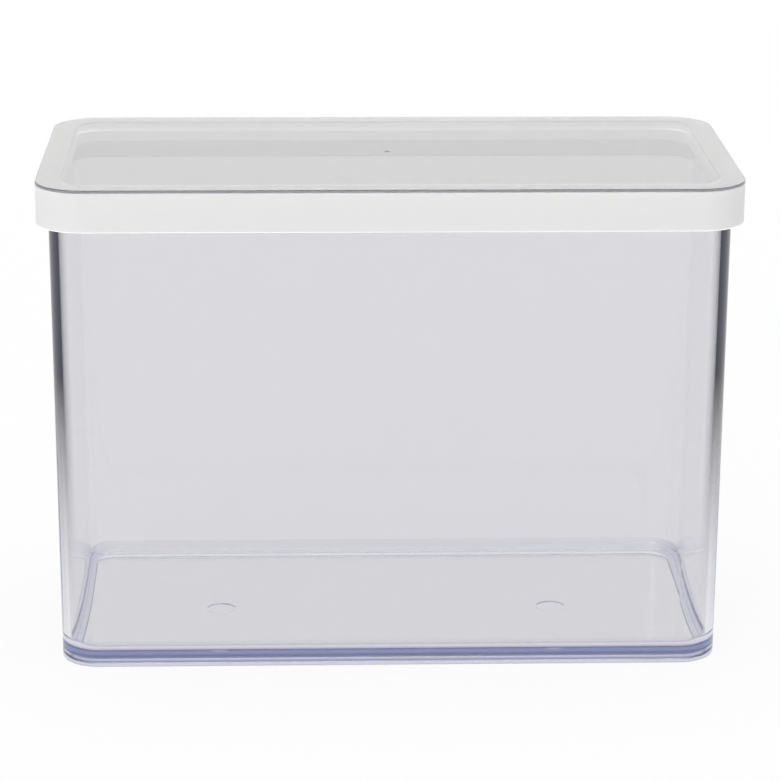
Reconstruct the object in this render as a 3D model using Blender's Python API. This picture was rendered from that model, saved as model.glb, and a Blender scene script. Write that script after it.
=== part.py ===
# Crispbread storage box: a clear, drafted box and its lift-off lid.
# Metres, +Z up. The origin is on the ground under the middle of the box, and the front is at -Y.

from math import cos, pi, radians, sin, tan

import bmesh
import bpy
from mathutils import Vector

# Overall sizes
lid_length = 0.200
lid_depth = 0.100
overall_height = 0.143
lid_corner_radius = 0.014

# Clearances
seat_gap = 0.0003           # between two pieces that rest on each other
skirt_clearance = 0.0008    # between the lid's skirt and the box wall
cut_overrun = 0.004         # how far a cutter reaches past what it cuts

# The clear box
box_wall = 0.0024
box_corner_radius = 0.0123
draft_angle = radians(0.3)  # the walls lean in towards the floor
floor_thickness = 0.0024
floor_fillet = 0.0037       # inside, between floor and walls
foot_recess = 0.00135       # how far the floor stands off the ground inside the foot
foot_width = 0.0052
foot_rounding = 0.0004      # outside
foot_inner_rounding = 0.0007
rim_rounding = 0.0005
gate_mark_diameter = 0.0076
gate_mark_depth = 0.0002
gate_mark_spacing = 0.100   # between the two marks, along the box

# The clear plate on top of the lid
plate_thickness = 0.0011
plate_rounding = 0.0005
plate_mark_diameter = 0.002
plate_mark_depth = 0.0003

# The white frame under the plate
ledge_thickness = 0.0016
skirt_drop = 0.0123         # from the plate's top face down to the skirt's lower edge
skirt_wall = 0.0025
skirt_rounding = 0.0006
bead_height = 0.0007        # the bead inside the skirt that keeps the seal in
bead_reach = 0.0005

# The soft sealing ring
seal_flange_thickness = 0.0012
seal_lip_thickness = 0.0010
seal_lip_drop = 0.0017      # below the rim of the box
seal_lip_taper = 0.0004

# Facets
corner_segments = 12
fillet_segments = 6
edge_segments = 2
mark_segments = 24

# Sizes that follow from the ones above
half_length = lid_length / 2
half_depth = lid_depth / 2
plate_underside = overall_height - plate_thickness
frame_top = plate_underside - seat_gap
ledge_underside = frame_top - ledge_thickness
seal_top = ledge_underside - seat_gap
flange_underside = seal_top - seal_flange_thickness
rim_height = flange_underside - seat_gap
floor_height = foot_recess + floor_thickness
box_inset = skirt_wall + skirt_clearance
ledge_width = box_inset + box_wall + seat_gap + seal_lip_thickness


def clear_scene():
    for thing in list(bpy.data.objects):
        bpy.data.objects.remove(thing, do_unlink=True)


def new_collection(name):
    collection = bpy.data.collections.new(name)
    bpy.context.scene.collection.children.link(collection)
    return collection


def new_material(name, colour, roughness, metallic, clear_share):
    material = bpy.data.materials.new(name)
    material.use_nodes = True
    shader = material.node_tree.nodes["Principled BSDF"]
    shader.inputs["Base Color"].default_value = (*colour, 1.0)
    shader.inputs["Roughness"].default_value = roughness
    shader.inputs["Metallic"].default_value = metallic
    shader.inputs["Transmission Weight"].default_value = clear_share
    material.diffuse_color = (*colour, 1.0)
    return material


def new_object(name, mesh, collection):
    thing = bpy.data.objects.new(name, mesh)
    collection.objects.link(thing)
    return thing


def edges_where(shape, test):
    return [edge for edge in shape.edges if all(test(corner.co) for corner in edge.verts)]


def square_edges(shape, height):
    """The edges that lie at a height and turn by more than half a right angle."""
    nearly = seat_gap / 10
    level = edges_where(shape, lambda co: abs(co.z - height) < nearly)
    return [edge for edge in level if len(edge.link_faces) == 2 and edge.calc_face_angle() > pi / 4]


def round_edges(shape, edges, radius, segments):
    bmesh.ops.bevel(
        shape, geom=edges, offset=radius, segments=segments,
        profile=0.5, affect="EDGES", clamp_overlap=True,
    )


def rounded_block(name, collection, half_sizes, bottom, top, corner_radius,
                  lean=0.0, bottom_radius=0.0, bottom_segments=edge_segments, top_radius=0.0):
    """A block with round upright corners. half_sizes are those of its top, and its sides lean in below."""
    height = top - bottom
    shape = bmesh.new()
    bmesh.ops.create_cube(shape, size=1.0)
    for corner in shape.verts:
        inset = height * tan(lean) if corner.co.z < 0 else 0.0
        corner.co.x = (half_sizes[0] - inset) * (1 if corner.co.x > 0 else -1)
        corner.co.y = (half_sizes[1] - inset) * (1 if corner.co.y > 0 else -1)
        corner.co.z = top if corner.co.z > 0 else bottom
    middle = (bottom + top) / 2
    upright = [edge for edge in shape.edges
               if (edge.verts[0].co.z - middle) * (edge.verts[1].co.z - middle) < 0]
    round_edges(shape, upright, corner_radius, corner_segments)
    if bottom_radius > 0:
        round_edges(shape, edges_where(shape, lambda co: co.z < middle), bottom_radius, bottom_segments)
    if top_radius > 0:
        round_edges(shape, edges_where(shape, lambda co: co.z > middle), top_radius, edge_segments)
    mesh = bpy.data.meshes.new(name)
    shape.to_mesh(mesh)
    shape.free()
    return new_object(name, mesh, collection)


def disc(name, collection, place, diameter, height):
    """An upright cylinder whose lower end is at place."""
    shape = bmesh.new()
    bmesh.ops.create_cone(
        shape, cap_ends=True, segments=mark_segments,
        radius1=diameter / 2, radius2=diameter / 2, depth=height,
    )
    bmesh.ops.translate(shape, verts=shape.verts, vec=Vector(place) + Vector((0, 0, height / 2)))
    mesh = bpy.data.meshes.new(name)
    shape.to_mesh(mesh)
    shape.free()
    return new_object(name, mesh, collection)


def cut(piece, cutter):
    """Cuts the cutter's form out of the piece."""
    cutter.display_type = "WIRE"
    cutter.hide_render = True
    step = piece.modifiers.new("cut_" + cutter.name, "BOOLEAN")
    step.operation = "DIFFERENCE"
    step.solver = "EXACT"
    step.object = cutter


def settle(piece):
    """Replaces the piece's mesh with its evaluated one, so that its new edges can be rounded."""
    bpy.context.view_layer.update()
    evaluated = piece.evaluated_get(bpy.context.evaluated_depsgraph_get())
    mesh = bpy.data.meshes.new_from_object(evaluated)
    piece.modifiers.clear()
    piece.data = mesh


def shade(piece, material, sharp_angle=radians(35)):
    piece.data.materials.clear()
    piece.data.materials.append(material)
    piece.data.shade_smooth()
    piece.data.set_sharp_from_angle(angle=sharp_angle)


def rounded_loop(half_x, half_y, radius):
    """Points anticlockwise round a rectangle with round corners, corner by corner."""
    points = []
    for turn, (sx, sy) in enumerate(((1, 1), (-1, 1), (-1, -1), (1, -1))):
        centre = Vector((sx * (half_x - radius), sy * (half_y - radius)))
        for step in range(corner_segments + 1):
            angle = (turn + step / corner_segments) * pi / 2
            points.append(centre + radius * Vector((cos(angle), sin(angle))))
    return points


def swept_ring(name, collection, half_sizes, corner_radius, section):
    """Sweeps a section round a rounded rectangle. The section's points are (inset, height), where inset
    is the distance in from the rectangle, and a corner's radius shrinks by that distance. They run from
    the section's top outer point down its outer side, so that the faces point out."""
    shape = bmesh.new()
    rings = []
    for inset, height in section:
        loop = rounded_loop(half_sizes[0] - inset, half_sizes[1] - inset, corner_radius - inset)
        rings.append([shape.verts.new((point.x, point.y, height)) for point in loop])
    count = len(rings[0])
    for ring, following in zip(rings, rings[1:] + rings[:1]):
        for place in range(count):
            beside = (place + 1) % count
            shape.faces.new((ring[place], following[place], following[beside], ring[beside]))
    mesh = bpy.data.meshes.new(name)
    shape.to_mesh(mesh)
    shape.free()
    return new_object(name, mesh, collection)


def make_box(parts, cutters, material):
    """The drafted box: round corners, a filleted floor, a foot round a recess, and two gate marks."""
    half_sizes = (half_length - box_inset, half_depth - box_inset)
    body = rounded_block(
        "box_body", parts, half_sizes, 0.0, rim_height, box_corner_radius,
        lean=draft_angle, bottom_radius=foot_rounding,
    )

    overrun_lean = cut_overrun * tan(draft_angle)
    inner_sizes = [size - box_wall + overrun_lean for size in half_sizes]
    cavity = rounded_block(
        "cavity", cutters, inner_sizes, floor_height, rim_height + cut_overrun,
        box_corner_radius - box_wall, lean=draft_angle,
        bottom_radius=floor_fillet, bottom_segments=fillet_segments,
    )
    cut(body, cavity)

    base_inset = rim_height * tan(draft_angle) + foot_width
    recess = rounded_block(
        "foot_recess", cutters, [size - base_inset for size in half_sizes],
        -cut_overrun, foot_recess, box_corner_radius - foot_width,
    )
    cut(body, recess)

    for side in (-1, 1):
        mark = disc(
            "floor_mark_left" if side < 0 else "floor_mark_right", cutters,
            (side * gate_mark_spacing / 2, 0, foot_recess - cut_overrun),
            gate_mark_diameter, cut_overrun + gate_mark_depth,
        )
        cut(body, mark)

    settle(body)
    shape = bmesh.new()
    shape.from_mesh(body.data)
    round_edges(shape, square_edges(shape, rim_height), rim_rounding, edge_segments)
    round_edges(shape, square_edges(shape, 0.0), foot_inner_rounding, edge_segments)
    shape.to_mesh(body.data)
    shape.free()
    shade(body, material)
    return body


def make_plate(parts, cutters, material):
    """The clear plate over the frame and its window, with rounded top edges and a small gate mark."""
    plate = rounded_block(
        "lid_plate", parts, (half_length, half_depth), plate_underside, overall_height,
        lid_corner_radius, top_radius=plate_rounding,
    )
    mark = disc(
        "plate_mark", cutters, (0, 0, overall_height - plate_mark_depth),
        plate_mark_diameter, plate_mark_depth + cut_overrun,
    )
    cut(plate, mark)
    settle(plate)
    shade(plate, material)
    return plate


def make_frame(parts, material):
    """The white frame: a ledge under the plate, and a skirt with a bead that keeps the seal in."""
    skirt_foot = overall_height - skirt_drop
    bead_top = flange_underside - seat_gap
    section = [
        (0.0, frame_top),
        (0.0, skirt_foot + skirt_rounding),
        (skirt_rounding, skirt_foot),
        (skirt_wall, skirt_foot),
        (skirt_wall, bead_top - 2 * bead_height),
        (skirt_wall + bead_reach, bead_top - bead_height),
        (skirt_wall + bead_reach, bead_top),
        (skirt_wall, bead_top),
        (skirt_wall, ledge_underside),
        (ledge_width, ledge_underside),
        (ledge_width, frame_top),
    ]
    frame = swept_ring("lid_frame", parts, (half_length, half_depth), lid_corner_radius, section)
    shade(frame, material)
    return frame


def make_seal(parts, material):
    """The soft ring: a flange on the rim of the box, and a tapered lip down its inner wall."""
    lip_start = box_inset + box_wall + seat_gap
    lip_end = lip_start + seal_lip_thickness
    lip_foot = rim_height - seal_lip_drop
    section = [
        (skirt_wall + seat_gap, seal_top),
        (skirt_wall + seat_gap, flange_underside),
        (lip_start, flange_underside),
        (lip_start, lip_foot + seal_lip_taper),
        (lip_start + seal_lip_taper, lip_foot),
        (lip_end - seal_lip_taper / 2, lip_foot),
        (lip_end, seal_top),
    ]
    outline = box_corner_radius + box_inset
    seal = swept_ring("lid_seal", parts, (half_length, half_depth), outline, section)
    shade(seal, material)
    return seal


def hang_lid(pieces):
    """One empty carries the lid's pieces, so that the lid lifts off as one."""
    lift = bpy.data.objects.new("lid_lift", None)
    bpy.context.scene.collection.objects.link(lift)
    lift.location = (0, 0, rim_height)
    bpy.context.view_layer.update()
    for piece in pieces:
        piece.parent = lift
        piece.matrix_parent_inverse = lift.matrix_world.inverted()


def main():
    clear_scene()
    parts = new_collection("crispbread_storage_box")
    cutters = new_collection("cutters")
    clear = new_material("clear_plastic", (0.86, 0.87, 0.91), 0.04, 0.0, 1.0)
    clear_lid = new_material("clear_lid_plastic", (0.86, 0.87, 0.90), 0.04, 0.0, 1.0)
    white = new_material("white_plastic", (0.88, 0.88, 0.87), 0.45, 0.0, 0.0)
    soft = new_material("soft_seal", (0.80, 0.80, 0.78), 0.6, 0.0, 0.0)
    make_box(parts, cutters, clear)
    plate = make_plate(parts, cutters, clear_lid)
    frame = make_frame(parts, white)
    seal = make_seal(parts, soft)
    hang_lid((plate, frame, seal))


main()
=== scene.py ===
from math import cos, pi, radians, sin, tan
import bmesh
import bpy
from mathutils import Matrix, Vector


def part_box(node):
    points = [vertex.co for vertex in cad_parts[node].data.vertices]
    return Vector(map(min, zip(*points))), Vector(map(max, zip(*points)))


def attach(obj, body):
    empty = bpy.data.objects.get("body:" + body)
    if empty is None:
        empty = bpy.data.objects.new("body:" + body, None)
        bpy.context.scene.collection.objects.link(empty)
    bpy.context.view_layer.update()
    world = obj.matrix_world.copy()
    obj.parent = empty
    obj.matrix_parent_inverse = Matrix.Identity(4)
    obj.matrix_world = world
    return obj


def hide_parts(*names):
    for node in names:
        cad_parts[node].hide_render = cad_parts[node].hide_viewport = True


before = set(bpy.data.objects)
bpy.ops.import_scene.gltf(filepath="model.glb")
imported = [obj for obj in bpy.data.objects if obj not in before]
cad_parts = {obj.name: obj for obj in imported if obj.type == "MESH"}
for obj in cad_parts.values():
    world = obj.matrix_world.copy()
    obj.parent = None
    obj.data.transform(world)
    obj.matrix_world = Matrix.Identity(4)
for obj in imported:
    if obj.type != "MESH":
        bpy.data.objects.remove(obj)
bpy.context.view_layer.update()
bodyLow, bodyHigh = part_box("box_body")
plateLow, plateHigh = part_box("lid_plate")
frameLow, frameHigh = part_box("lid_frame")
sealLow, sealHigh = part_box("lid_seal")
print("frame loaded:", ", ".join(sorted(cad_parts)))


# Sweeps: a section of (inset, height) points is carried round a rectangle with round corners

sweepSet = {
    "cornerSteps": 24,              # facets in each upright corner
    "edgeSteps": 4,                 # facets in each small rounding
    "mergeDistance": 0.000002,
    "sharpAngle": radians(50),      # an edge that turns by more stays sharp
}


def arc(inset, height, radius, startAngle, endAngle, steps=0):
    steps = steps or sweepSet["edgeSteps"]
    points = []
    for step in range(steps + 1):
        angle = radians(startAngle + (endAngle - startAngle) * step / steps)
        points.append((inset + radius * cos(angle), height + radius * sin(angle)))
    return points


def makeSweepTree():
    tree = bpy.data.node_groups.new("sweepSection", "GeometryNodeTree")
    sockets = tree.interface
    sockets.new_socket("Section", in_out="INPUT", socket_type="NodeSocketGeometry")
    for name in ("Length", "Depth", "Corner Radius"):
        sockets.new_socket(name, in_out="INPUT", socket_type="NodeSocketFloat")
    sockets.new_socket("Corner Steps", in_out="INPUT", socket_type="NodeSocketInt")
    sockets.new_socket("Finish", in_out="INPUT", socket_type="NodeSocketMaterial")
    sockets.new_socket("Shell", in_out="OUTPUT", socket_type="NodeSocketGeometry")
    given = tree.nodes.new("NodeGroupInput")
    result = tree.nodes.new("NodeGroupOutput")
    outline = tree.nodes.new("GeometryNodeCurvePrimitiveQuadrilateral")
    corners = tree.nodes.new("GeometryNodeFilletCurve")
    corners.mode = "POLY"
    upright = tree.nodes.new("GeometryNodeSetCurveNormal")
    upright.mode = "Z_UP"
    section = tree.nodes.new("GeometryNodeMeshToCurve")
    sweep = tree.nodes.new("GeometryNodeCurveToMesh")
    realize = tree.nodes.new("GeometryNodeRealizeInstances")
    finish = tree.nodes.new("GeometryNodeSetMaterial")
    link = tree.links.new
    link(given.outputs["Length"], outline.inputs["Width"])
    link(given.outputs["Depth"], outline.inputs["Height"])
    link(outline.outputs["Curve"], corners.inputs["Curve"])
    link(given.outputs["Corner Steps"], corners.inputs["Count"])
    link(given.outputs["Corner Radius"], corners.inputs["Radius"])
    link(corners.outputs["Curve"], upright.inputs["Curve"])
    link(given.outputs["Section"], section.inputs["Mesh"])
    link(upright.outputs["Curve"], sweep.inputs["Curve"])
    link(section.outputs["Curve"], sweep.inputs["Profile Curve"])
    link(sweep.outputs["Mesh"], realize.inputs["Geometry"])
    link(realize.outputs["Geometry"], finish.inputs["Geometry"])
    link(given.outputs["Finish"], finish.inputs["Material"])
    link(finish.outputs["Geometry"], result.inputs["Shell"])
    return tree


def setInput(modifier, name, value):
    for socket in modifier.node_group.interface.items_tree:
        if socket.in_out == "INPUT" and socket.name == name:
            modifier[socket.identifier] = value


def addObject(name, mesh):
    thing = bpy.data.objects.new(name, mesh)
    bpy.context.scene.collection.objects.link(thing)
    return thing


def applyModifiers(piece):
    bpy.context.view_layer.update()
    evaluated = piece.evaluated_get(bpy.context.evaluated_depsgraph_get())
    mesh = bpy.data.meshes.new_from_object(evaluated)
    piece.modifiers.clear()
    piece.data = mesh


def sweepPiece(name, section, closed, outline, cornerRadius, material):
    last = len(section) - 1
    edges = [(place, place + 1) for place in range(last)]
    if closed:
        edges.append((last, 0))
    mesh = bpy.data.meshes.new(name)
    mesh.from_pydata([(-inset, -height, 0) for inset, height in section], edges, [])
    piece = addObject(name, mesh)
    modifier = piece.modifiers.new("sweep", "NODES")
    modifier.node_group = sweepTree
    setInput(modifier, "Length", outline[0])
    setInput(modifier, "Depth", outline[1])
    setInput(modifier, "Corner Radius", cornerRadius)
    setInput(modifier, "Corner Steps", sweepSet["cornerSteps"])
    setInput(modifier, "Finish", material)
    applyModifiers(piece)
    shape = bmesh.new()
    shape.from_mesh(piece.data)
    bmesh.ops.remove_doubles(shape, verts=shape.verts, dist=sweepSet["mergeDistance"])
    rims = [edge for edge in shape.edges if edge.is_boundary]
    bmesh.ops.holes_fill(shape, edges=rims, sides=0)        # the flat faces at a section's open ends
    bmesh.ops.recalc_face_normals(shape, faces=shape.faces)
    shape.to_mesh(piece.data)
    shape.free()
    return piece


def turnedPiece(name, profile, centre, steps):
    shape = bmesh.new()
    points = [shape.verts.new((radius, 0, height)) for radius, height in profile]
    edges = [shape.edges.new(pair) for pair in zip(points, points[1:])]
    bmesh.ops.spin(
        shape, geom=points + edges, cent=(0, 0, 0), axis=(0, 0, 1), angle=2 * pi, steps=steps,
    )
    bmesh.ops.remove_doubles(shape, verts=shape.verts, dist=sweepSet["mergeDistance"])
    bmesh.ops.recalc_face_normals(shape, faces=shape.faces)
    bmesh.ops.translate(shape, verts=shape.verts, vec=centre)
    mesh = bpy.data.meshes.new(name)
    shape.to_mesh(mesh)
    shape.free()
    return addObject(name, mesh)


def cut(piece, cutter):
    modifier = piece.modifiers.new("cut", "BOOLEAN")
    modifier.operation = "DIFFERENCE"
    modifier.solver = "EXACT"
    modifier.object = cutter
    applyModifiers(piece)
    bpy.data.objects.remove(cutter)


def smoothPiece(piece):
    piece.data.shade_smooth()
    piece.data.set_sharp_from_angle(angle=sweepSet["sharpAngle"])
    modifier = piece.modifiers.new("flatFaces", "WEIGHTED_NORMAL")     # keeps the long walls flat
    modifier.keep_sharp = True


sweepTree = makeSweepTree()


# Shared surface effects

noiseSet = {
    "smudgeDetail": 5.0,
    "smudgeRoughness": 0.6,
    "smudgeStart": 0.45,            # noise below this leaves no smudge
    "smudgeFull": 0.75,
    "flowDetail": 1.0,
    "patchDetail": 3.0,
}


def newGroup(name, inputs, outputs):
    group = bpy.data.node_groups.new(name, "ShaderNodeTree")
    for label, value in inputs.items():
        socket = group.interface.new_socket(label, in_out="INPUT", socket_type="NodeSocketFloat")
        socket.default_value = value
    for label, kind in outputs.items():
        group.interface.new_socket(label, in_out="OUTPUT", socket_type=kind)
    return group, group.nodes.new("NodeGroupInput"), group.nodes.new("NodeGroupOutput")


def mathNode(nodes, links, operation, first, second):
    node = nodes.new("ShaderNodeMath")
    node.operation = operation
    for place, value in enumerate((first, second)):
        if hasattr(value, "is_output"):
            links.new(value, node.inputs[place])
        else:
            node.inputs[place].default_value = value
    return node.outputs[0]


def rampNode(nodes, links, value, start, end, kind="LINEAR"):
    node = nodes.new("ShaderNodeMapRange")
    node.interpolation_type = kind
    node.inputs["From Min"].default_value = start
    node.inputs["From Max"].default_value = end
    links.new(value, node.inputs["Value"])
    return node.outputs["Result"]


def toneNode(nodes, links, share, first, second):
    node = nodes.new("ShaderNodeMix")
    node.data_type = "RGBA"
    links.new(share, node.inputs["Factor"])
    for label, tone in (("A", first), ("B", second)):
        if hasattr(tone, "is_output"):
            links.new(tone, node.inputs[label])
        else:
            node.inputs[label].default_value = (*tone, 1)
    return node.outputs["Result"]


def skinNode(nodes, label):
    node = nodes.new("ShaderNodeAttribute")
    node.attribute_name = label
    return node.outputs["Fac"]


def makeHandlingMarks():
    group, given, result = newGroup(
        "handlingMarks",
        {"Smudge Scale": 18.0, "Smudge Amount": 0.02, "Base Roughness": 0.02, "Flow Scale": 30.0},
        {"Roughness": "NodeSocketFloat", "Height": "NodeSocketFloat"},
    )
    nodes, links = group.nodes, group.links
    place = nodes.new("ShaderNodeTexCoord")
    smudge = nodes.new("ShaderNodeTexNoise")
    smudge.inputs["Detail"].default_value = noiseSet["smudgeDetail"]
    smudge.inputs["Roughness"].default_value = noiseSet["smudgeRoughness"]
    links.new(place.outputs["Object"], smudge.inputs["Vector"])
    links.new(given.outputs["Smudge Scale"], smudge.inputs["Scale"])
    start, full = noiseSet["smudgeStart"], noiseSet["smudgeFull"]
    patches = rampNode(nodes, links, smudge.outputs["Fac"], start, full, "SMOOTHSTEP")
    spread = mathNode(nodes, links, "MULTIPLY", patches, given.outputs["Smudge Amount"])
    rough = mathNode(nodes, links, "ADD", spread, given.outputs["Base Roughness"])
    links.new(rough, result.inputs["Roughness"])
    flow = nodes.new("ShaderNodeTexNoise")
    flow.inputs["Detail"].default_value = noiseSet["flowDetail"]
    links.new(place.outputs["Object"], flow.inputs["Vector"])
    links.new(given.outputs["Flow Scale"], flow.inputs["Scale"])
    links.new(flow.outputs["Fac"], result.inputs["Height"])
    return group


def makeMouldedGrain():
    group, given, result = newGroup(
        "mouldedGrain",
        {"Grain Scale": 2600.0, "Patch Scale": 40.0, "Base Roughness": 0.4, "Roughness Spread": 0.08},
        {"Height": "NodeSocketFloat", "Roughness": "NodeSocketFloat", "Tone": "NodeSocketFloat"},
    )
    nodes, links = group.nodes, group.links
    place = nodes.new("ShaderNodeTexCoord")
    grain = nodes.new("ShaderNodeTexVoronoi")
    grain.feature = "SMOOTH_F1"
    links.new(place.outputs["Object"], grain.inputs["Vector"])
    links.new(given.outputs["Grain Scale"], grain.inputs["Scale"])
    links.new(grain.outputs["Distance"], result.inputs["Height"])
    patch = nodes.new("ShaderNodeTexNoise")
    patch.inputs["Detail"].default_value = noiseSet["patchDetail"]
    links.new(place.outputs["Object"], patch.inputs["Vector"])
    links.new(given.outputs["Patch Scale"], patch.inputs["Scale"])
    links.new(patch.outputs["Fac"], result.inputs["Tone"])
    spread = mathNode(nodes, links, "MULTIPLY", patch.outputs["Fac"], given.outputs["Roughness Spread"])
    rough = mathNode(nodes, links, "ADD", spread, given.outputs["Base Roughness"])
    links.new(rough, result.inputs["Roughness"])
    return group


handlingMarks = makeHandlingMarks()
mouldedGrain = makeMouldedGrain()


def placeGroup(material, group, values):
    node = material.node_tree.nodes.new("ShaderNodeGroup")
    node.node_tree = group
    for label, value in values.items():
        node.inputs[label].default_value = value
    return node


def bumpFrom(material, height, distance, strength):
    nodes, links = material.node_tree.nodes, material.node_tree.links
    bump = nodes.new("ShaderNodeBump")
    bump.inputs["Distance"].default_value = distance
    bump.inputs["Strength"].default_value = strength
    links.new(height, bump.inputs["Height"])
    links.new(bump.outputs["Normal"], nodes["Principled BSDF"].inputs["Normal"])


def clearPlastic(name, look):
    material = bpy.data.materials.new(name)
    material.use_nodes = True
    nodes, links = material.node_tree.nodes, material.node_tree.links
    shader = nodes["Principled BSDF"]
    shader.inputs["Base Color"].default_value = (*look["tint"], 1)
    shader.inputs["IOR"].default_value = look["refraction"]
    shader.inputs["Transmission Weight"].default_value = 1.0
    marks = placeGroup(material, handlingMarks, look["marks"])
    links.new(marks.outputs["Roughness"], shader.inputs["Roughness"])
    bumpFrom(material, marks.outputs["Height"], look["waveDepth"], look["waveStrength"])
    inside = nodes.new("ShaderNodeVolumeAbsorption")
    inside.inputs["Color"].default_value = (*look["depthColour"], 1)
    inside.inputs["Density"].default_value = look["depthDensity"]
    links.new(inside.outputs["Volume"], nodes["Material Output"].inputs["Volume"])
    return material


# The outside of the foot isn't polished as the walls are
def dullFoot(material, look):
    nodes, links = material.node_tree.nodes, material.node_tree.links
    shader = nodes["Principled BSDF"]
    polish = shader.inputs["Roughness"].links[0].from_socket
    place = nodes.new("ShaderNodeTexCoord")
    axes = nodes.new("ShaderNodeSeparateXYZ")
    links.new(place.outputs["Object"], axes.inputs["Vector"])
    low = rampNode(nodes, links, axes.outputs["Z"], look["footDullTop"], look["footDullFull"])
    dull = mathNode(nodes, links, "MULTIPLY", low, skinNode(nodes, "outerSkin"))
    dull = mathNode(nodes, links, "MULTIPLY", dull, look["footDull"])
    links.new(mathNode(nodes, links, "ADD", dull, polish), shader.inputs["Roughness"])


# A wall seen edge-on round an upright corner lets little light through, least of all high up; this is
# painted shade, a dark colour. The foot bends light away in level lines, painted as blue shade. Both show
# only on the outside. The fillet over the floor is painted darker too, as painted shade.
def paintBoxShade(material, look):
    nodes, links = material.node_tree.nodes, material.node_tree.links
    # painted shade at the upright corners, by how edge-on the wall is seen and by height
    facing = nodes.new("ShaderNodeLayerWeight")
    edgeOn = rampNode(nodes, links, facing.outputs["Facing"], look["edgeStart"], look["edgeFull"])
    place = nodes.new("ShaderNodeTexCoord")
    axes = nodes.new("ShaderNodeSeparateXYZ")
    links.new(place.outputs["Object"], axes.inputs["Vector"])
    high = rampNode(nodes, links, axes.outputs["Z"], look["edgeFoot"], look["edgeTop"], "SMOOTHSTEP")
    corner = mathNode(nodes, links, "MULTIPLY", edgeOn, high)
    corner = mathNode(nodes, links, "MULTIPLY", corner, skinNode(nodes, "cornerShadeSkin"))
    # painted blue shade on the foot, in level lines
    span = look["footShadeLines"][-1][0]
    level = nodes.new("ShaderNodeValToRGB")
    links.new(rampNode(nodes, links, axes.outputs["Z"], 0.0, span), level.inputs["Fac"])
    stops = level.color_ramp.elements
    while len(stops) < len(look["footShadeLines"]):
        stops.new(1.0)
    for stop, (height, share) in zip(stops, look["footShadeLines"]):
        stop.position = height / span
        stop.color = (share, share, share, 1)
    foot = mathNode(nodes, links, "MULTIPLY", level.outputs["Color"], skinNode(nodes, "outerSkin"))
    sides = nodes.new("ShaderNodeNewGeometry")
    outside = mathNode(nodes, links, "SUBTRACT", 1.0, sides.outputs["Backfacing"])
    corner = mathNode(nodes, links, "MULTIPLY", corner, outside)
    foot = mathNode(nodes, links, "MULTIPLY", foot, outside)
    # the painted shade on the fillet, the foot and the corners goes into the base colour
    tint = toneNode(nodes, links, skinNode(nodes, "filletShadeSkin"), look["tint"], look["filletShadeTint"])
    tint = toneNode(nodes, links, foot, tint, look["footShadeColour"])
    tint = toneNode(nodes, links, corner, tint, look["edgeShadeColour"])
    links.new(tint, nodes["Principled BSDF"].inputs["Base Color"])


# The plate's middle is clear from above, and painted greyer the flatter one looks across it: painted shade
def paintWindowShade(material, look):
    nodes, links = material.node_tree.nodes, material.node_tree.links
    facing = nodes.new("ShaderNodeLayerWeight")
    across = rampNode(nodes, links, facing.outputs["Facing"], look["windowStart"], look["windowFull"])
    share = mathNode(nodes, links, "MULTIPLY", across, skinNode(nodes, "windowShadeSkin"))
    tint = toneNode(nodes, links, share, look["tint"], look["windowShadeTint"])
    links.new(tint, nodes["Principled BSDF"].inputs["Base Color"])


def opaquePlastic(name, look):
    material = bpy.data.materials.new(name)
    material.use_nodes = True
    nodes, links = material.node_tree.nodes, material.node_tree.links
    shader = nodes["Principled BSDF"]
    shader.inputs["IOR"].default_value = look["refraction"]
    shader.inputs["Subsurface Weight"].default_value = look["softness"]
    shader.inputs["Subsurface Radius"].default_value = look["softReach"]
    shader.inputs["Subsurface Scale"].default_value = look["softScale"]
    grain = placeGroup(material, mouldedGrain, look["grain"])
    links.new(grain.outputs["Roughness"], shader.inputs["Roughness"])
    tone = toneNode(nodes, links, grain.outputs["Tone"], look["shade"], look["light"])
    links.new(tone, shader.inputs["Base Color"])
    bumpFrom(material, grain.outputs["Height"], look["grainDepth"], look["grainStrength"])
    # painted light: the inner faces glow, standing in for light that soaks through from outside
    paintedGlow = toneNode(nodes, links, skinNode(nodes, "paintedGlowSkin"), (0, 0, 0), (1, 1, 1))
    links.new(paintedGlow, shader.inputs["Emission Color"])
    shader.inputs["Emission Strength"].default_value = look["paintedGlow"]
    return material


uprightRise = 0.5       # an upright face's normal rises by less than this, and a level one's by more


# Gives each face its share of a finish, a painted shade or a painted glow, from its centre and normal
def markSkin(piece, label, shareAt):
    skin = piece.data.attributes.new(label, "FLOAT", "FACE")
    for face, mark in zip(piece.data.polygons, skin.data):
        mark.value = float(shareAt(face.center, face.normal))


def facesOut(centre, normal):
    return normal.x * centre.x + normal.y * centre.y > 0 and abs(normal.z) < uprightRise


# The clear box

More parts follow.
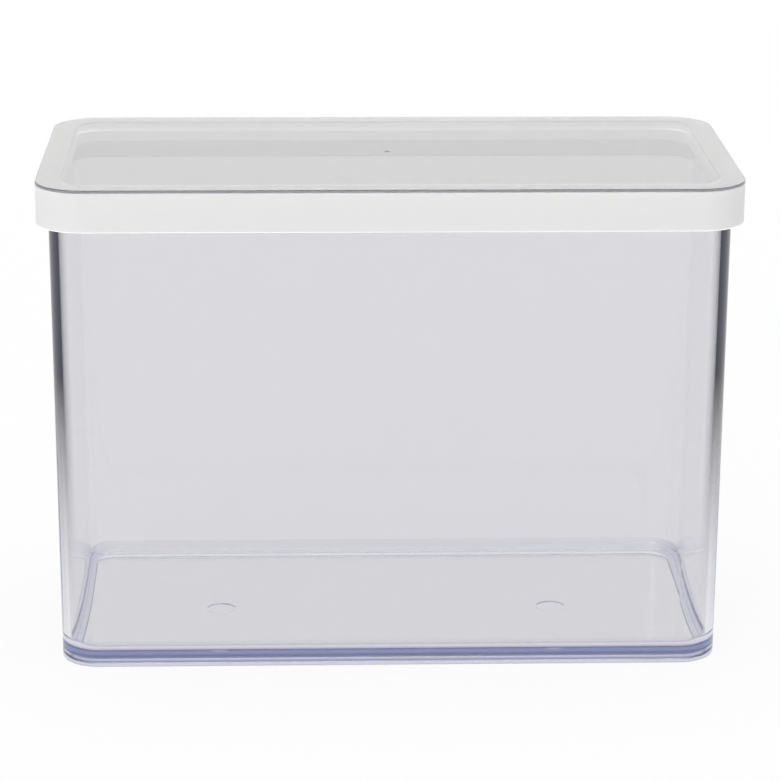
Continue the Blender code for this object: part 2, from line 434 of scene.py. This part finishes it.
boxSet = {
    "wall": 0.0024,
    "draft": radians(0.3),          # the walls lean in towards the floor
    "cornerRadius": 0.0123,
    "floorThickness": 0.0024,
    "floorFillet": 0.0037,          # inside, between floor and walls
    "filletSteps": 14,
    "footRecess": 0.00135,
    "footWidth": 0.0052,
    "footRounding": 0.0003,         # at the foot's outer edge
    "footInnerRounding": 0.0007,
    "recessFillet": 0.0003,
    "rimRounding": 0.0005,
    "markSpacing": 0.100,           # between the two gate marks under the floor
    "markForward": 0.006,           # from the middle of the floor towards the front
    "markRadius": 0.0043,
    "markDepth": 0.00046,
    "markSteps": 48,
    # finish
    "tint": (0.86, 0.855, 0.862),
    "refraction": 1.59,
    "marks": {"Smudge Scale": 22.0, "Smudge Amount": 0.015, "Base Roughness": 0.012, "Flow Scale": 26.0},
    "waveDepth": 0.00004,
    "waveStrength": 0.5,
    "depthColour": (0.0, 0.09, 0.51),
    "depthDensity": 13.2,
    # painted shade at the upright corners
    "edgeShadeColour": (0.0, 0.0, 0.001),
    "edgeStart": 0.22,              # where the painted shade at the corners begins, 0 head-on and 1 edge-on
    "edgeFull": 0.40,
    "edgeFoot": 0.0,                # it fades down to this height
    "edgeTop": 0.087,
    "filletRises": (0.05, 0.99),    # how much a normal on the fillet rises, next to the wall and the floor
    "filletShadeTint": (0.44, 0.45, 0.55),   # painted shade on the fillet, full at the ends of the box
    "filletSideShadeShares": (0.3, 0.7),     # how much of the painted shade the long sides have, next to the wall and the floor
    "filletSideRises": (0.6, 0.85),     # between these rises the one share turns into the other
    "footDull": 0.12,               # added roughness
    "footDullTop": 0.0048,          # there is none above this height
    "footDullFull": 0.00384,
    # painted blue shade on the foot's outside
    "footShadeColour": (0.02, 0.02, 0.2),
    "footShadeLines": (                  # the share of the foot's painted shade at each height
        (0.0, 0.95), (0.0005, 0.5), (0.0010, 0.5), (0.0017, 0.9), (0.0023, 0.6), (0.0029, 0.3),
        (0.0034, 0.75), (0.0041, 0.15), (0.0046, 0.05), (0.0053, 0.8), (0.0060, 0.4), (0.0073, 0.0),
    ),
}


def makeBox():
    s = boxSet
    rim = bodyHigh.z
    outline = (bodyHigh.x - bodyLow.x, bodyHigh.y - bodyLow.y)
    slope = tan(s["draft"])
    foot = slope * rim                              # the wall's inset at the ground
    recess = foot + s["footWidth"]
    floor = s["footRecess"] + s["floorThickness"]
    inner = s["wall"] + slope * (rim - floor)
    hollow, inside, edge = s["recessFillet"], s["footInnerRounding"], s["footRounding"]
    lip, fillet = s["rimRounding"], s["floorFillet"]
    section = arc(recess + hollow, s["footRecess"] - hollow, hollow, 90, 180)
    section += arc(recess - inside, inside, inside, 0, -90)
    section += arc(foot + edge, edge, edge, -90, -180)
    section += arc(lip, rim - lip, lip, 180, 90)
    section += arc(s["wall"] - lip, rim - lip, lip, 90, 0)
    section += arc(inner + fillet, floor + fillet, fillet, 180, 270, s["filletSteps"])
    piece = sweepPiece("clearBox", section, False, outline, s["cornerRadius"], boxClear)
    radius, start, end = s["markRadius"], -s["footRecess"], s["footRecess"] + s["markDepth"]
    profile = [(0, start), (radius, start), (radius, end), (0, end)]
    for side in (-1, 1):
        centre = (side * s["markSpacing"] / 2, -s["markForward"], 0)
        cut(piece, turnedPiece("gateMark", profile, centre, s["markSteps"]))
    smoothPiece(piece)
    straightX, straightY = (side / 2 - s["cornerRadius"] for side in outline)

    # faces that get the painted shade at the corners
    def cornerShadeShare(centre, normal):
        return facesOut(centre, normal) and abs(centre.x) > straightX and abs(centre.y) > straightY

    # faces that get the painted shade on the fillet, most at the ends of the box
    def filletShadeShare(centre, normal):
        least, most = s["filletRises"]
        if not least < normal.z < most or centre.z > floor + fillet:
            return 0
        nearWall, nearFloor = s["filletSideShadeShares"]
        start, end = s["filletSideRises"]
        flatness = min(max((normal.z - start) / (end - start), 0), 1)
        side = nearWall + (nearFloor - nearWall) * flatness
        return side + (1 - side) * normal.x * normal.x / (1 - normal.z * normal.z)

    markSkin(piece, "outerSkin", facesOut)
    markSkin(piece, "cornerShadeSkin", cornerShadeShare)
    markSkin(piece, "filletShadeSkin", filletShadeShare)
    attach(piece, "box")
    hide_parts("box_body")
    return piece


boxClear = clearPlastic("boxClear", boxSet)
dullFoot(boxClear, boxSet)
paintBoxShade(boxClear, boxSet)
clearBox = makeBox()
print("clear box done:", len(clearBox.data.polygons), "faces")


# The clear plate of the lid

plateSet = {
    "cornerRadius": 0.014,
    "thickness": 0.00085,
    "topRounding": 0.00022,
    "underRounding": 0.0002,
    "windowInset": 0.007,           # the frame lies under the plate as far as here
    "markRadius": 0.001,
    "markDepth": 0.0003,
    "markSteps": 32,
    # finish
    "tint": (0.80, 0.797, 0.795),
    # painted shade in the plate's middle
    "windowShadeTint": (0.46, 0.457, 0.46),
    "windowStart": 0.3,             # where the painted grey shade begins, 0 head-on and 1 edge-on
    "windowFull": 0.7,
    "refraction": 1.59,
    "marks": {"Smudge Scale": 22.0, "Smudge Amount": 0.02, "Base Roughness": 0.015, "Flow Scale": 26.0},
    "waveDepth": 0.00004,
    "waveStrength": 0.5,
    "depthColour": (0.42, 0.43, 0.50),
    "depthDensity": 15.0,
}


def makePlate():
    s = plateSet
    top, edge, under, inset = plateHigh.z, s["topRounding"], s["underRounding"], s["windowInset"]
    foot = top - s["thickness"]
    outline = (plateHigh.x - plateLow.x, plateHigh.y - plateLow.y)
    section = [(inset, foot)] + arc(under, foot + under, under, 270, 180)
    section += arc(edge, top - edge, edge, 180, 90) + [(inset, top)]
    piece = sweepPiece("clearPlate", section, False, outline, s["cornerRadius"], plateClear)
    depth = s["markDepth"]
    profile = [(0, -depth), (s["markRadius"], -depth), (s["markRadius"], depth), (0, depth)]
    cut(piece, turnedPiece("plateMark", profile, (0, 0, top), s["markSteps"]))
    smoothPiece(piece)

    # faces that get the painted shade: the plate's middle, inside the frame
    def windowShadeShare(centre, normal):
        return abs(centre.x) < outline[0] / 2 - inset and abs(centre.y) < outline[1] / 2 - inset

    markSkin(piece, "windowShadeSkin", windowShadeShare)
    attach(piece, "lid")
    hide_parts("lid_plate")
    return piece


plateClear = clearPlastic("plateClear", plateSet)
paintWindowShade(plateClear, plateSet)
clearPlate = makePlate()
print("clear plate done:", len(clearPlate.data.polygons), "faces")


# The white frame of the lid

frameSet = {
    "cornerRadius": 0.014,
    "plateGap": 0.00004,            # under the plate
    "sealGap": 0.00002,             # over the seal
    "ledgeWidth": 0.007,
    "wall": 0.0025,
    "footRounding": 0.0006,
    "edgeRounding": 0.0002,
    "beadHeight": 0.0007,           # the bead in the skirt ends level with the rim of the box
    "beadReach": 0.0005,
    "ledgePaintedGlow": 0.75,              # the ledge's share of the painted glow
    # finish
    "shade": (0.91, 0.91, 0.907),
    "light": (0.94, 0.94, 0.94),
    "refraction": 1.5,
    "softness": 0.7,
    "softReach": (1.0, 1.0, 0.95),
    "softScale": 0.0012,
    "paintedGlow": 0.5,                    # painted light on the inner faces, for light that soaks through
    "grain": {"Grain Scale": 2600.0, "Patch Scale": 35.0, "Base Roughness": 0.38, "Roughness Spread": 0.1},
    "grainDepth": 0.00003,
    "grainStrength": 0.3,
}


def makeFrame():
    s = frameSet
    top, foot = plateHigh.z - plateSet["thickness"] - s["plateGap"], frameLow.z
    under = sealHigh.z + s["sealGap"]
    outline = (frameHigh.x - frameLow.x, frameHigh.y - frameLow.y)
    edge, small, wall, ledge = s["footRounding"], s["edgeRounding"], s["wall"], s["ledgeWidth"]
    bead, beadTop = s["beadHeight"], bodyHigh.z
    section = arc(small, top - small, small, 90, 180)
    section += arc(edge, foot + edge, edge, 180, 270)
    section += arc(wall - small, foot + small, small, 270, 360)
    section += [(wall, beadTop - 2 * bead), (wall + s["beadReach"], beadTop - bead)]
    section += [(wall + s["beadReach"], beadTop), (wall, beadTop), (wall, under)]
    section += [(ledge, under)] + arc(ledge - small, top - small, small, 0, 90)
    piece = sweepPiece("whiteFrame", section, True, outline, s["cornerRadius"], frameWhite)
    smoothPiece(piece)

    # faces that get the painted glow: the skirt's inner faces in full, the ledge's in part
    def paintedGlowShare(centre, normal):
        if facesOut(centre, normal) or normal.z > uprightRise or centre.z < foot + small:
            return 0
        return 1 if centre.z < under else s["ledgePaintedGlow"]

    markSkin(piece, "paintedGlowSkin", paintedGlowShare)
    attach(piece, "lid")
    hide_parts("lid_frame")
    return piece


frameWhite = opaquePlastic("frameWhite", frameSet)
whiteFrame = makeFrame()
print("white frame done:", len(whiteFrame.data.polygons), "faces")


# The soft seal of the lid

sealSet = {
    "cornerRadius": 0.0128,
    "flangeThickness": 0.0012,
    "lipStart": 0.0032,             # from the ring's outer edge
    "lipThickness": 0.001,
    "lipTaper": 0.0004,
    # finish
    "shade": (0.90, 0.90, 0.89),
    "light": (0.94, 0.94, 0.935),
    "refraction": 1.43,
    "softness": 0.0,
    "softReach": (1.0, 1.0, 0.9),
    "softScale": 0.001,
    # painted light over the whole seal, for light that soaks through
    "paintedGlow": 0.38,
    "grain": {"Grain Scale": 3400.0, "Patch Scale": 60.0, "Base Roughness": 0.55, "Roughness Spread": 0.1},
    "grainDepth": 0.00002,
    "grainStrength": 0.2,
}


def makeSeal():
    s = sealSet
    top, foot = sealHigh.z, sealLow.z
    outline = (sealHigh.x - sealLow.x, sealHigh.y - sealLow.y)
    under = top - s["flangeThickness"]
    start, taper = s["lipStart"], s["lipTaper"]
    end = start + s["lipThickness"]
    section = [
        (0, top), (0, under), (start, under), (start, foot + taper), (start + taper, foot),
        (end - taper / 2, foot), (end, top),
    ]
    piece = sweepPiece("softSeal", section, True, outline, s["cornerRadius"], sealSoft)
    smoothPiece(piece)
    # the whole seal gets the painted glow
    markSkin(piece, "paintedGlowSkin", lambda centre, normal: 1)
    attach(piece, "lid")
    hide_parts("lid_seal")
    return piece


sealSoft = opaquePlastic("sealSoft", sealSet)
softSeal = makeSeal()
print("soft seal done:", len(softSeal.data.polygons), "faces")


# Floor, light and camera

stageSet = {
    "floorRadius": 6.0,
    "floorSides": 64,
    "floorColour": (0.92, 0.92, 0.92),
    "ownLight": 0.90,               # share of the floor's white that doesn't depend on the lamps
    "fadeStart": 0.13,              # from here outwards the floor turns into the backdrop
    "fadeEnd": 0.8,
    "worldFill": 0.5,               # the world's strength where it isn't seen, reflected or looked through
    "bounces": 48,                  # light runs on inside the clear floor for dozens of bounces
    "glossyBounces": 40,
    "clearBounces": 40,
}
lampSet = {
    "top": {"place": (0.0, 0.1, 1.6), "size": 1.6, "power": 14.3},
    "left": {"place": (-0.7, -1.45, 1.1), "size": 1.0, "power": 6.8},
}
cameraSet = {
    "place": (-0.02735, -0.86265, 0.33099),
    "yaw": -0.0330,                 # turned towards the right
    "pitch": 0.2938,                # looking down
    "roll": 0.0045,
    "focalPixels": 3006.95,
    "pictureHeight": 781,
    "sensor": 36.0,
}


def whiteRays(nodes, links):
    path = nodes.new("ShaderNodeLightPath")
    seen = mathNode(nodes, links, "MAXIMUM", path.outputs["Is Camera Ray"], path.outputs["Is Glossy Ray"])
    return mathNode(nodes, links, "MAXIMUM", seen, path.outputs["Is Transmission Ray"])


def makeFloor():
    material = bpy.data.materials.new("paleFloor")
    material.use_nodes = True
    nodes, links = material.node_tree.nodes, material.node_tree.links
    nodes.clear()
    output = nodes.new("ShaderNodeOutputMaterial")
    lit = nodes.new("ShaderNodeBsdfDiffuse")
    lit.inputs["Color"].default_value = (*stageSet["floorColour"], 1)
    own = nodes.new("ShaderNodeEmission")
    mix = nodes.new("ShaderNodeMixShader")
    place = nodes.new("ShaderNodeTexCoord")
    reach = nodes.new("ShaderNodeVectorMath")
    reach.operation = "LENGTH"
    links.new(place.outputs["Object"], reach.inputs[0])
    start, end = stageSet["fadeStart"], stageSet["fadeEnd"]
    away = rampNode(nodes, links, reach.outputs["Value"], start, end, "SMOOTHSTEP")
    near = mathNode(nodes, links, "SUBTRACT", 1.0, away)
    shaded = mathNode(nodes, links, "MULTIPLY", near, 1 - stageSet["ownLight"])
    white = mathNode(nodes, links, "SUBTRACT", 1.0, shaded)
    share = mathNode(nodes, links, "MULTIPLY", white, whiteRays(nodes, links))
    links.new(share, mix.inputs["Fac"])
    links.new(lit.outputs["BSDF"], mix.inputs[1])
    links.new(own.outputs["Emission"], mix.inputs[2])
    links.new(mix.outputs["Shader"], output.inputs["Surface"])
    radius, sides = stageSet["floorRadius"], stageSet["floorSides"]
    shape = bmesh.new()
    bmesh.ops.create_circle(shape, cap_ends=True, radius=radius, segments=sides)
    mesh = bpy.data.meshes.new("floor")
    shape.to_mesh(mesh)
    shape.free()
    floor = addObject("floor", mesh)
    floor.data.materials.append(material)


def makeWorld():
    world = bpy.data.worlds.new("studio")
    bpy.context.scene.world = world
    world.use_nodes = True
    nodes, links = world.node_tree.nodes, world.node_tree.links
    background = nodes["Background"]
    background.inputs["Color"].default_value = (1, 1, 1, 1)
    white = whiteRays(nodes, links)
    rest = mathNode(nodes, links, "MULTIPLY", white, 1 - stageSet["worldFill"])
    strength = mathNode(nodes, links, "ADD", rest, stageSet["worldFill"])
    links.new(strength, background.inputs["Strength"])


def makeLamps():
    for name, lamp in lampSet.items():
        light = bpy.data.lights.new(name + "Lamp", "AREA")
        light.shape = "DISK"
        light.size = lamp["size"]
        light.energy = lamp["power"]
        thing = bpy.data.objects.new(name + "Lamp", light)
        bpy.context.scene.collection.objects.link(thing)
        thing.location = lamp["place"]
        aim = Vector((0, 0, bodyHigh.z / 2)) - thing.location
        thing.rotation_euler = aim.to_track_quat("-Z", "Y").to_euler()


def makeCamera():
    s = cameraSet
    yaw, pitch, roll = s["yaw"], s["pitch"], s["roll"]
    right = Vector((cos(yaw), sin(yaw), 0))
    level = Vector((-sin(yaw), cos(yaw), 0))
    ahead = level * cos(pitch) - Vector((0, 0, sin(pitch)))
    up = level * sin(pitch) + Vector((0, 0, cos(pitch)))
    rolledRight = right * cos(roll) + up * sin(roll)
    rolledUp = up * cos(roll) - right * sin(roll)
    lens = bpy.data.cameras.new("camera")
    lens.sensor_width = s["sensor"]
    lens.lens = s["sensor"] * s["focalPixels"] / s["pictureHeight"]
    camera = bpy.data.objects.new("camera", lens)
    bpy.context.scene.collection.objects.link(camera)
    turn = Matrix((rolledRight, rolledUp, -ahead)).transposed().to_4x4()
    camera.matrix_world = Matrix.Translation(s["place"]) @ turn
    bpy.context.scene.camera = camera


def followLightThroughPlastic():
    paths = bpy.context.scene.cycles
    paths.max_bounces = stageSet["bounces"]
    paths.glossy_bounces = stageSet["glossyBounces"]
    paths.transmission_bounces = stageSet["clearBounces"]


makeFloor()
makeWorld()
makeLamps()
makeCamera()
followLightThroughPlastic()
bpy.context.scene.view_settings.view_transform = "Standard"
print("stage, light and camera done")
